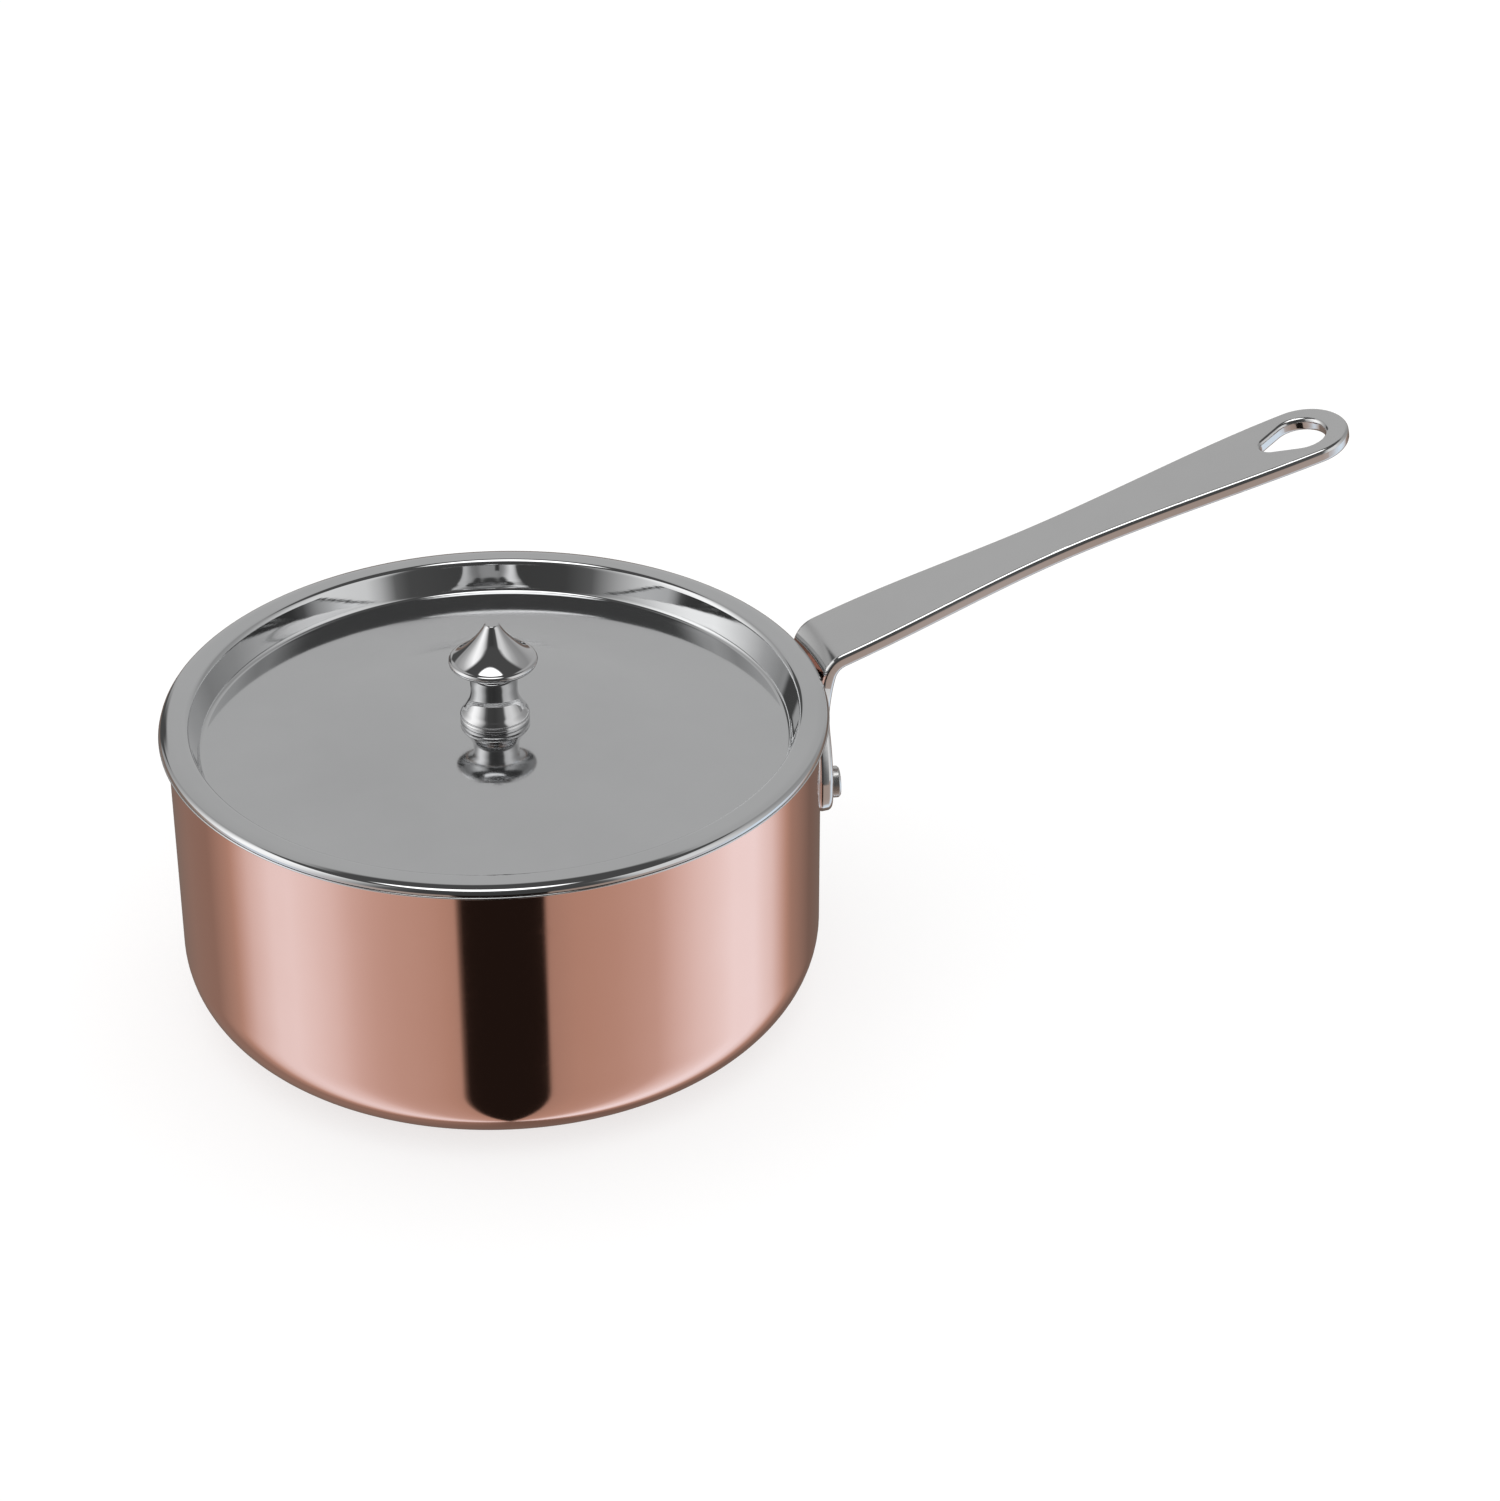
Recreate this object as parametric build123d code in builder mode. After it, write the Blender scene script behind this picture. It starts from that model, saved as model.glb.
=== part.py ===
from build123d import *
from math import cos, degrees, radians, sin, tan
import os

# A clad copper saucepan with a riveted long handle and a flat, recessed lid.
# Millimetres. The origin is the middle of the base, on the surface it stands on.
# +Z is up and +X runs out along the handle.

os.makedirs("parts", exist_ok=True)

# Pan
inside_diameter = 160.0  # nominal size of the pan, across the mouth
pan_height = 79.3  # surface to the top of the lip
copper_thickness = 0.8
core_thickness = 0.7
liner_thickness = 0.5
base_corner_radius = 18.5  # outside, between the wall and the base
lip_overhang = 2.2  # past the copper wall
lip_depth = 1.8  # top of the lip to its underside
lip_edge = 0.5  # thickness of the lip's outer edge, which the lid's edge rests over
lip_ledge = 1.45  # how far that thin edge runs in from the lip's radius
lip_crown = 0.6  # mouth to the end of the lip's level top
lip_crown_rounding = 3.2
lip_inner_rounding = 0.5

# Lid
seat_gap = 0.05  # between the lip and the flange that rests on it
lid_sheet = 0.95
flange_setback = 0.2  # lid edge inside the lip's edge
flange_fall_width = 2.4  # outer part of the flange, which slopes down to the edge
flange_fall = 18.0  # degrees below level
flange_fall_rounding = 7.0
flange_edge_rounding = 1.1
recess_clearance = 1.9  # between the recess wall and the mouth, where it enters
recess_depth = 8.2  # flange top to the level ring round the lid's floor
recess_slant = 2.5  # how far the recess wall leans in
recess_top_rounding = 1.3
recess_foot_rounding = 1.8
floor_ring_radius = 64.0  # the level ring is outside this, the dome inside
dome_rise = 4.9  # middle of the lid's floor above the level ring
dome_turn_radius = 43.0  # where the dome turns from crowned to hollow
land_margin = 1.2  # flat land for the knob, past its foot

# Knob, as radii and heights above the lid's floor
foot_radius = 8.75
foot_band = 1.5  # upright band at the foot's base
bead_radius = 7.5
bead_height = 3.7
waist_radius = 6.2
waist_height = 6.6
neck_radius = 6.0
neck_height = 10.0
cove_radius = 6.6
cove_height = 13.6
brim_radius = 11.15
brim_height = 15.9
brim_edge = 1.9
tip_radius = 2.0
tip_cap = 0.5  # height of the blunt end's crown
cone_radius = 5.2  # partway up the hollow cone
cone_height = 22.2
knob_height = 27.2

# Knob fixing
screw_diameter = 4.0
screw_grip = 9.0  # length of the screw inside the knob
screw_head_diameter = 8.0
screw_head_height = 2.4
screw_recess_width = 1.1
screw_recess_length = 4.4
screw_recess_depth = 1.4
thread_clearance = 0.02
screw_hole_clearance = 0.2
washer_diameter = 12.0
washer_thickness = 0.9

# Handle
handle_length = 154.0  # pan wall to the tip
handle_thickness = 3.8
blade_lean = 16.7  # degrees above level, where the blade leaves the bend
blade_droop = 4.2  # degrees less at the tip
arch_share = 0.45  # of the blade on each side of its middle, given to the droop's arc
bend_standoff = 4.0  # bend's middle line outside the lug's
bend_height = 0.7  # bend's middle line above the lip
bend_radius = 6.0
crook_drop = 12.3  # where the lug leaves the wall, below the lip
crook_radius = 20.0
root_width = 22.2
waist_width = 16.3
waist_reach = 70.0
loop_width = 23.8
hole_end_radius = 7.5
hole_neck_radius = 3.0
hole_length = 17.3

# Lug and rivets
lug_drop = 38.8  # lip to the lug's lower edge
lug_width = 49.0
lug_corner_radius = 7.5
lug_notch = 2.0  # how far the lower edge curves up between the rivets
rivet_drop = 29.3  # lip to the rivets' axis
rivet_spacing = 34.0
rivet_diameter = 5.0
rivet_hole_clearance = 0.02
rivet_head_diameter = 8.2
rivet_head_height = 2.3
rivet_head_chamfer = 0.5
inner_head_height = 1.1

# Derived places
mouth_radius = inside_diameter / 2
core_radius = mouth_radius + liner_thickness
shell_radius = core_radius + core_thickness
wall_radius = shell_radius + copper_thickness
lip_radius = wall_radius + lip_overhang
lip_underside = pan_height - lip_depth
lip_ledge_height = lip_underside + lip_edge
base_thickness = wall_radius - mouth_radius
lug_outside = wall_radius + handle_thickness
lug_middle = wall_radius + handle_thickness / 2
lid_underside = pan_height + seat_gap
lid_top = lid_underside + lid_sheet
lid_radius = lip_radius - flange_setback
flange_drop = flange_fall_width * tan(radians(flange_fall))
recess_radius = mouth_radius - recess_clearance - lid_sheet
floor_edge = recess_radius - recess_slant
floor_edge_height = lid_top - recess_depth
knob_seat = floor_edge_height + dome_rise
rivet_angle = degrees((rivet_spacing / 2) / wall_radius)
rivet_level = pan_height - rivet_drop
lug_bottom = pan_height - lug_drop
reach = wall_radius + handle_length
loop_centre = reach - loop_width / 2
hole_neck = loop_centre + hole_end_radius - hole_length + hole_neck_radius


def vessel(outside_radius, inside_radius, underside, floor, top, name):
    """One clad layer: a straight wall with a rounded corner, turned about Z."""
    outer_corner = base_corner_radius - (wall_radius - outside_radius)
    inner_corner = outer_corner - (outside_radius - inside_radius)
    with BuildPart() as layer:
        with BuildSketch(Plane.XZ):
            with BuildLine():
                Line((0, underside), (outside_radius - outer_corner, underside))
                RadiusArc(
                    (outside_radius - outer_corner, underside),
                    (outside_radius, underside + outer_corner),
                    -outer_corner,
                )
                Line((outside_radius, underside + outer_corner), (outside_radius, top))
                Line((outside_radius, top), (inside_radius, top))
                Line((inside_radius, top), (inside_radius, floor + inner_corner))
                RadiusArc(
                    (inside_radius, floor + inner_corner),
                    (inside_radius - inner_corner, floor),
                    inner_corner,
                )
                Line((inside_radius - inner_corner, floor), (0, floor))
                Line((0, floor), (0, underside))
            make_face()
        revolve(axis=Axis.Z)
    layer.part.label = name
    return layer.part


def rivet_planes():
    """The two rivet axes, pointing straight out of the wall at the rivets' level."""
    planes = []
    for side in (1, -1):
        angle = radians(side * rivet_angle)
        outward = (cos(angle), sin(angle), 0)
        planes.append(Plane(origin=(0, 0, rivet_level), z_dir=outward))
    return planes


def drill_for_rivets(solid):
    """Bore both rivet holes through a wall or the lug."""
    with BuildPart() as drilled:
        add(solid)
        for plane in rivet_planes():
            with BuildSketch(plane.offset(mouth_radius / 2)):
                Circle(rivet_diameter / 2 + rivet_hole_clearance)
            extrude(amount=wall_radius, mode=Mode.SUBTRACT)
    drilled.part.label = solid.label
    return drilled.part


# Pan wall: copper outside, aluminium between, steel inside
copper_shell = drill_for_rivets(
    vessel(wall_radius, shell_radius, 0, copper_thickness, lip_underside, "copper_shell")
)
aluminium_core = drill_for_rivets(
    vessel(
        shell_radius,
        core_radius,
        copper_thickness,
        copper_thickness + core_thickness,
        lip_underside,
        "aluminium_core",
    )
)
liner_wall = vessel(
    core_radius,
    mouth_radius,
    copper_thickness + core_thickness,
    base_thickness,
    pan_height - lip_depth / 2,
    "liner_wall",
)

# Liner: the steel wall, with its lip rolled out over the copper's edge
with BuildPart() as liner_blank:
    add(liner_wall)
    with BuildSketch(Plane.XZ):
        with BuildLine():
            Line((mouth_radius, lip_underside), (lip_radius - lip_edge / 2, lip_underside))
            ThreePointArc(
                (lip_radius - lip_edge / 2, lip_underside),
                (lip_radius, lip_underside + lip_edge / 2),
                (lip_radius - lip_edge / 2, lip_ledge_height),
            )
            Line((lip_radius - lip_edge / 2, lip_ledge_height), (lip_radius - lip_ledge, lip_ledge_height))
            RadiusArc(
                (lip_radius - lip_ledge, lip_ledge_height),
                (mouth_radius + lip_crown, pan_height),
                -lip_crown_rounding,
            )
            Line((mouth_radius + lip_crown, pan_height), (mouth_radius + lip_inner_rounding, pan_height))
            RadiusArc(
                (mouth_radius + lip_inner_rounding, pan_height),
                (mouth_radius, pan_height - lip_inner_rounding),
                -lip_inner_rounding,
            )
            Line((mouth_radius, pan_height - lip_inner_rounding), (mouth_radius, lip_underside))
        make_face()
    revolve(axis=Axis.Z)
liner_blank.part.label = "steel_liner"
steel_liner = drill_for_rivets(liner_blank.part)

# Handle: a flat bar bent out of the lug, cut to its outline from above and from in front
blade_start = Vector(lug_middle + bend_standoff, pan_height + bend_height)
blade_run = reach - blade_start.X
blade_knee = blade_start + Vector(1, tan(radians(blade_lean))) * (blade_run / 2)
tip_slope = tan(radians(blade_lean - blade_droop))
blade_end = blade_knee + Vector(1, tip_slope) * (blade_run / 2 + handle_thickness)
arch_radius = arch_share * blade_run / tan(radians(blade_droop / 2))
root_end = blade_start.X + bend_radius  # the root stays one width as far as this

with BuildPart() as handle_bar:
    with BuildSketch(Plane.XZ):
        with BuildLine() as middle_line:
            FilletPolyline(
                (lug_middle, lug_bottom - handle_thickness),
                (lug_middle, pan_height - crook_drop),
                (blade_start.X, blade_start.Y),
                (blade_knee.X, blade_knee.Y),
                (blade_end.X, blade_end.Y),
                radius=(crook_radius, bend_radius, arch_radius),
            )
        trace(line_width=handle_thickness)
    revolve(axis=Axis.Z)

with BuildPart() as handle_outline:
    # From above: root, waist and loop
    with BuildSketch(Plane.XY.offset(pan_height - lip_depth)):
        with BuildLine():
            Line((wall_radius, root_width / 2), (root_end, root_width / 2))
            Spline(
                (root_end, root_width / 2),
                (wall_radius + waist_reach, waist_width / 2),
                (loop_centre, loop_width / 2),
                tangents=((1, 0), (1, 0)),
            )
            RadiusArc((loop_centre, loop_width / 2), (reach, 0), loop_width / 2)
            mirror(about=Plane.XZ)
            Line((wall_radius, root_width / 2), (wall_radius, -root_width / 2))
        make_face()
        with BuildSketch(mode=Mode.SUBTRACT):
            with Locations((loop_centre, 0)):
                Circle(hole_end_radius)
            with Locations((hole_neck, 0)):
                Circle(hole_neck_radius)
            make_hull()
    extrude(amount=pan_height)
    # From in front: the lug, spreading down to its two rivets
    with BuildSketch(Plane.YZ.offset(mouth_radius - handle_thickness)):
        with BuildLine():
            lug_side = lug_width / 2
            Spline(
                (root_width / 2, pan_height),
                (root_width / 2, pan_height - lip_depth),
                (lug_side, rivet_level + lug_corner_radius / 2),
                tangents=((0, -1), (0.25, -1)),
            )
            Line((lug_side, rivet_level + lug_corner_radius / 2), (lug_side, lug_bottom))
            mirror(about=Plane.YZ)
            ThreePointArc((lug_side, lug_bottom), (0, lug_bottom + lug_notch), (-lug_side, lug_bottom))
            Line((root_width / 2, pan_height), (-root_width / 2, pan_height))
        lug_face = make_face()
        lug_corners = lug_face.vertices().sort_by(Axis.Y)[:2]
        fillet(lug_corners, lug_corner_radius)
    extrude(amount=root_end - mouth_radius + handle_thickness)

with BuildPart() as handle_blank:
    add(handle_bar.part)
    add(handle_outline.part, mode=Mode.INTERSECT)
handle_blank.part.label = "handle"
handle = drill_for_rivets(handle_blank.part)


def rivet(plane, name):
    """A solid rivet: flat outer head with a chamfered rim, shank and low inner head."""
    with BuildPart() as headed:
        with BuildSketch(plane.offset(lug_outside - rivet_head_height)):
            Circle(rivet_head_diameter / 2)
        extrude(amount=2 * rivet_head_height)
        outer_rim = headed.faces().sort_by(SortBy.DISTANCE)[-1].edges()
        chamfer(outer_rim, rivet_head_chamfer)
        with BuildSketch(plane.offset(mouth_radius - inner_head_height)):
            Circle(rivet_head_diameter / 2)
        extrude(amount=2 * inner_head_height)
        # Both heads are seated on curved faces: the lug's and the liner's
        with BuildSketch(Plane.XY.offset(lug_bottom)):
            Circle(lug_outside)
            Circle(mouth_radius, mode=Mode.SUBTRACT)
        extrude(amount=lug_drop, mode=Mode.SUBTRACT)
        with BuildSketch(plane.offset(mouth_radius - inner_head_height / 2)):
            Circle(rivet_diameter / 2)
        extrude(amount=lug_outside - mouth_radius + inner_head_height / 2 + rivet_head_height / 2)
    headed.part.label = name
    return headed.part


left_plane, right_plane = rivet_planes()
handle_rivet_left = rivet(left_plane, "handle_rivet_left")
handle_rivet_right = rivet(right_plane, "handle_rivet_right")

# Lid: one spun sheet, with a level flange, a leaning wall and a gently domed floor
knob_land = foot_radius + land_margin
turn_share = (dome_turn_radius - knob_land) / (floor_ring_radius - knob_land)
turn_height = floor_edge_height + dome_rise * (1 - turn_share)
with BuildPart() as lid:
    with BuildSketch(Plane.XZ):
        with BuildLine() as flange_line:
            FilletPolyline(
                (lid_radius - lid_sheet / 2, lip_ledge_height + seat_gap),
                (lid_radius - lid_sheet / 2, lid_top - lid_sheet / 2 - flange_drop),
                (lid_radius - lid_sheet / 2 - flange_fall_width, lid_top - lid_sheet / 2),
                (recess_radius, lid_top - lid_sheet / 2),
                (floor_edge, floor_edge_height - lid_sheet / 2),
                (floor_ring_radius, floor_edge_height - lid_sheet / 2),
                radius=(
                    flange_edge_rounding,
                    flange_fall_rounding,
                    recess_top_rounding,
                    recess_foot_rounding,
                ),
            )
        trace(line_width=lid_sheet)
        with BuildLine():
            for drop in (0, lid_sheet):
                Line((0, knob_seat - drop), (knob_land, knob_seat - drop))
                dome = TangentArc(
                    (knob_land, knob_seat - drop),
                    (dome_turn_radius, turn_height - drop),
                    tangent=(1, 0),
                )
                TangentArc(
                    (dome_turn_radius, turn_height - drop),
                    (floor_ring_radius, floor_edge_height - drop),
                    tangent=dome % 1,
                )
            Line((0, knob_seat), (0, knob_seat - lid_sheet))
            Line((floor_ring_radius, floor_edge_height), (floor_ring_radius, floor_edge_height - lid_sheet))
        make_face()
    revolve(axis=Axis.Z)
    with BuildSketch(Plane.XY.offset(floor_edge_height)):
        Circle(screw_diameter / 2 + screw_hole_clearance)
    extrude(amount=2 * dome_rise + lid_sheet, mode=Mode.SUBTRACT)
lid.part.label = "lid"

# Knob: turned, with a banded foot, a waist and a brim that rises to a blunt point
tip_sphere = (tip_radius**2 + tip_cap**2) / (2 * tip_cap)
with BuildPart() as lid_knob:
    with BuildSketch(Plane.XZ.shift_origin((0, 0, knob_seat))):
        with BuildLine():
            Line((0, 0), (foot_radius, 0))
            Line((foot_radius, 0), (foot_radius, foot_band))
            Spline(
                (foot_radius, foot_band),
                (bead_radius, bead_height),
                (waist_radius, waist_height),
                (neck_radius, neck_height),
                (cove_radius, cove_height),
                (brim_radius - brim_edge / 2, brim_height),
                tangents=((0, 1), (1, 0.3)),
            )
            ThreePointArc(
                (brim_radius - brim_edge / 2, brim_height),
                (brim_radius, brim_height + brim_edge / 2),
                (brim_radius - brim_edge / 2, brim_height + brim_edge),
            )
            Spline(
                (brim_radius - brim_edge / 2, brim_height + brim_edge),
                (cone_radius, cone_height),
                (tip_radius, knob_height - tip_cap),
                tangents=((-1, 0.6), (-0.5, 1)),
            )
            RadiusArc((tip_radius, knob_height - tip_cap), (0, knob_height), -tip_sphere)
            Line((0, knob_height), (0, 0))
        make_face()
    revolve(axis=Axis.Z)
    with BuildSketch(Plane.XY.offset(knob_seat)):
        Circle(screw_diameter / 2 + thread_clearance)
    extrude(amount=screw_grip + screw_diameter / 2, mode=Mode.SUBTRACT)
lid_knob.part.label = "lid_knob"

# Washer and screw, which hold the knob from under the lid
washer_top = knob_seat - lid_sheet
with BuildPart() as knob_washer:
    with BuildSketch(Plane.XY.offset(washer_top - washer_thickness)):
        Circle(washer_diameter / 2)
        Circle(screw_diameter / 2 + screw_hole_clearance, mode=Mode.SUBTRACT)
    extrude(amount=washer_thickness)
knob_washer.part.label = "knob_washer"

head_top = washer_top - washer_thickness
with BuildPart() as knob_screw:
    with BuildSketch(Plane.XY.offset(head_top - screw_head_height)):
        Circle(screw_head_diameter / 2)
    extrude(amount=screw_head_height)
    fillet(knob_screw.edges().sort_by(Axis.Z)[0], screw_head_height / 2)
    with BuildSketch(Plane.XY.offset(head_top)):
        Circle(screw_diameter / 2)
    extrude(amount=knob_seat - head_top + screw_grip)
    with BuildSketch(Plane.XY.offset(head_top - screw_head_height)):
        Rectangle(screw_recess_length, screw_recess_width)
        Rectangle(screw_recess_width, screw_recess_length)
    extrude(amount=screw_recess_depth, mode=Mode.SUBTRACT)
knob_screw.part.label = "knob_screw"

pieces = (
    copper_shell,
    aluminium_core,
    steel_liner,
    handle,
    handle_rivet_left,
    handle_rivet_right,
    lid.part,
    lid_knob.part,
    knob_washer.part,
    knob_screw.part,
)
for piece in pieces:
    export_step(piece, f"parts/{piece.label}.step")
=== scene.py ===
from bisect import bisect_right
from math import asin, cos, pi, radians, sin, sqrt, tan

import bmesh
import bpy
from mathutils import Matrix, Vector
from mathutils.geometry import interpolate_bezier


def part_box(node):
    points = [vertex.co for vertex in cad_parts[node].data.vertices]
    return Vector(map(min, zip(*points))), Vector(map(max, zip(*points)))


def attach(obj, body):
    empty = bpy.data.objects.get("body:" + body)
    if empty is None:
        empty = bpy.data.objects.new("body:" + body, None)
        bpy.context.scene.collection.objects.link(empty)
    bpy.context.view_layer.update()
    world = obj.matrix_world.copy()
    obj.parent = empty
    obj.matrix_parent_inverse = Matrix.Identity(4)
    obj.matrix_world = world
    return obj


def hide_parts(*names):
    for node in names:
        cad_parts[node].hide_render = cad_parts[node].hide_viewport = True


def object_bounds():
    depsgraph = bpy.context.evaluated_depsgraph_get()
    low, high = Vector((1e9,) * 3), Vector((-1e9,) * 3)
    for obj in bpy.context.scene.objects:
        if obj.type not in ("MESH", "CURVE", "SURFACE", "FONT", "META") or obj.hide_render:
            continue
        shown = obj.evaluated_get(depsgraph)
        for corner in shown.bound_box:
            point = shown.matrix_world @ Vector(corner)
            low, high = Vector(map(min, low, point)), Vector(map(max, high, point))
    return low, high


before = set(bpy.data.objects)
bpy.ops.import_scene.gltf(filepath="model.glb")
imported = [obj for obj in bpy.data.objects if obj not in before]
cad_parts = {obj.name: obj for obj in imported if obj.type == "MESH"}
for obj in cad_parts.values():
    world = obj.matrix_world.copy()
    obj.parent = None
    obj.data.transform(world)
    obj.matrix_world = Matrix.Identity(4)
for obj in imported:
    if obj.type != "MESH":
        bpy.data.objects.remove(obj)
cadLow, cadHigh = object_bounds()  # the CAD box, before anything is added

scene = bpy.context.scene
scene.view_settings.view_transform = "Standard"
mm = 0.001


# Shader and Geometry Nodes maths as plain expressions

class Wire:
    # one output socket, with the operators that add Math nodes after it
    def __init__(self, nodes, socket):
        self.nodes = nodes
        self.socket = socket

    def maths(self, operation, *others):
        return self.nodes.node(self.nodes.mathType, dict(operation=operation), [self, *others])

    def __add__(self, other): return self.maths("ADD", other)
    def __sub__(self, other): return self.maths("SUBTRACT", other)
    def __mul__(self, other): return self.maths("MULTIPLY", other)
    def __truediv__(self, other): return self.maths("DIVIDE", other)
    def __rsub__(self, other): return self.nodes.node(self.nodes.mathType, dict(operation="SUBTRACT"), [other, self])
    def __neg__(self): return self.maths("MULTIPLY", -1)
    __radd__ = __add__
    __rmul__ = __mul__

    def sine(self): return self.maths("SINE")
    def cosine(self): return self.maths("COSINE")
    def arctan2(self, other): return self.maths("ARCTAN2", other)
    def arcsine(self): return self.maths("ARCSINE")
    def absolute(self): return self.maths("ABSOLUTE")
    def power(self, other): return self.maths("POWER", other)
    def floor(self): return self.maths("FLOOR")
    def above(self, other): return self.maths("GREATER_THAN", other)
    def least(self, other): return self.maths("MINIMUM", other)
    def most(self, other): return self.maths("MAXIMUM", other)

    def step(self, low, high, bottom=0.0, top=1.0):
        # a smooth rise from bottom to top as the value goes from low to high
        return self.nodes.node("ShaderNodeMapRange", dict(interpolation_type="SMOOTHSTEP"),
                               {"Value": self, "From Min": low, "From Max": high, "To Min": bottom, "To Max": top})


class Nodes:
    # makes nodes in one tree
    def __init__(self, tree):
        self.tree = tree
        self.mathType = "ShaderNodeMath"

    def node(self, kind, settings=None, sockets=None, output=0):
        made = self.tree.nodes.new(kind)
        for name, value in (settings or {}).items():
            if name == "stops":
                setStops(made.color_ramp, value)
            else:
                setattr(made, name, value)
        pairs = sockets.items() if isinstance(sockets, dict) else enumerate(sockets or [])
        for name, value in pairs:
            socket = made.inputs[name]
            if isinstance(value, Wire):
                self.tree.links.new(value.socket, socket)
            else:
                socket.default_value = value
        return Wire(self, made.outputs[output]) if len(made.outputs) else made

    def mixColour(self, share, first, second, blend="MIX"):
        return self.node("ShaderNodeMix", dict(data_type="RGBA", blend_type=blend), {0: share, 6: first, 7: second}, 2)

    def noise(self, place, scale, detail=2.0, roughness=0.5):
        return self.node("ShaderNodeTexNoise", {}, {"Vector": place, "Scale": scale, "Detail": detail,
                                                    "Roughness": roughness})

    def bump(self, height, strength, distance, normal=None):
        sockets = {"Height": height, "Strength": strength, "Distance": distance}
        if normal is not None:
            sockets["Normal"] = normal
        return self.node("ShaderNodeBump", {}, sockets)

    def combine(self, x, y, z):
        return self.node("ShaderNodeCombineXYZ", {}, [x, y, z])

    def separate(self, vector):
        split = self.node("ShaderNodeSeparateXYZ", {}, [vector]).socket.node
        return [Wire(self, out) for out in split.outputs]


def setStops(ramp, stops):
    for place, colour in stops[1:-1]:
        ramp.elements.new(place)
    for element, (place, colour) in zip(ramp.elements, stops):
        element.position = place
        element.color = (*colour, 1.0)


# Studio: camera, pale floor, soft light

print("studio")
studio = dict(
    turn=20.5,             # degrees between the line of sight and the XZ plane of the handle
    cameraPlace=(-0.2427, -0.8322, 0.5933),
    cameraDip=31.318,      # degrees below level
    lens=95.94,
    floorSize=30.0,
    floorColour=(0.30, 0.30, 0.30),
    cameraSide=16.26,      # degrees from -Y to the camera, seen from the pan
    lowBand=[(-180, 0.17), (-143, 0.26), (-125, 0.26), (-111, 0.42), (-100, 0.68), (-89, 0.82), (-80, 0.84),
             (-71, 0.79), (-62, 0.72), (-54, 0.62), (-47, 0.56), (-39, 0.52), (-32, 0.50), (-24, 0.47),
             (-15.7, 0.42), (-15.4, 0.013), (14.8, 0.013), (15.1, 0.38), (25, 0.44), (40, 0.48), (55, 0.55),
             (63, 0.66), (72, 0.76), (81, 0.83), (90, 0.90), (101, 0.90), (112, 0.76), (126, 0.35), (145, 0.18)],
    highBand=[(-180, 0.54), (-150, 0.52), (-135, 0.42), (-120, 0.62), (-108, 1.0),
              (-92, 1.45), (-80, 1.38), (-68, 1.15), (-58, 0.80), (-48, 0.50), (-38, 0.14), (-28, 0.07),
              (0, 0.06), (30, 0.09), (35, 0.16), (41, 0.60), (46, 0.85), (58, 0.92), (68, 0.95), (80, 0.82), (92, 0.62),
              (110, 0.42), (130, 0.36), (145, 0.50), (165, 0.54)],
    boxTop=50,             # degrees above level
    wallTop=58,
    ceiling=0.09,
    flagPlace=0.083,       # share of the way round
    flagEdges=(0.018, 0.032),
    flagTop=(24, 29),      # degrees above level, where it fades out
    lampFacing=(-0.079, -0.069, 0.9945),
    lampSpread=16,
    lampBrightness=2.2,
    roomWhite=(1.0, 1.0, 1.0),
    warmLow=(1.0, 0.768, 0.657),
    paleHigh=(1.0, 1.135, 1.28),
    floorGlow=0.70,
)

camera = bpy.data.objects.new("camera", bpy.data.cameras.new("camera"))
scene.collection.objects.link(camera)
scene.camera = camera
camera.data.lens = studio["lens"]
camera.data.sensor_width = 36
camera.data.clip_end = 100
camera.location = studio["cameraPlace"]
camera.rotation_euler = (radians(90 - studio["cameraDip"]), 0, radians(-studio["turn"]))


def floorMaterial():
    material = bpy.data.materials.new("paleFloor")
    material.use_nodes = True
    n = Nodes(material.node_tree)
    surface = material.node_tree.nodes["Principled BSDF"].inputs
    place = n.node("ShaderNodeTexCoord", {}, {}, "Object")
    mottle = n.noise(place, 9.0, 3.0)
    low = tuple(0.985 * c for c in studio["floorColour"])
    colour = n.mixColour(mottle, (*low, 1), (*studio["floorColour"], 1))
    material.node_tree.links.new(colour.socket, surface["Base Color"])
    surface["Emission Color"].default_value = (1, 1, 1, 1)
    surface["Emission Strength"].default_value = studio["floorGlow"]
    surface["Roughness"].default_value = 0.9
    surface["Specular IOR Level"].default_value = 0.1
    return material


bpy.ops.mesh.primitive_plane_add(size=studio["floorSize"], location=(0, 0, cadLow.z - 0.0002))
floor = bpy.context.object
floor.name = "floor"
floor.data.materials.append(floorMaterial())
floor.visible_glossy = False  # polished metal mirrors the studio's cards, which the world stands for


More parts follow.
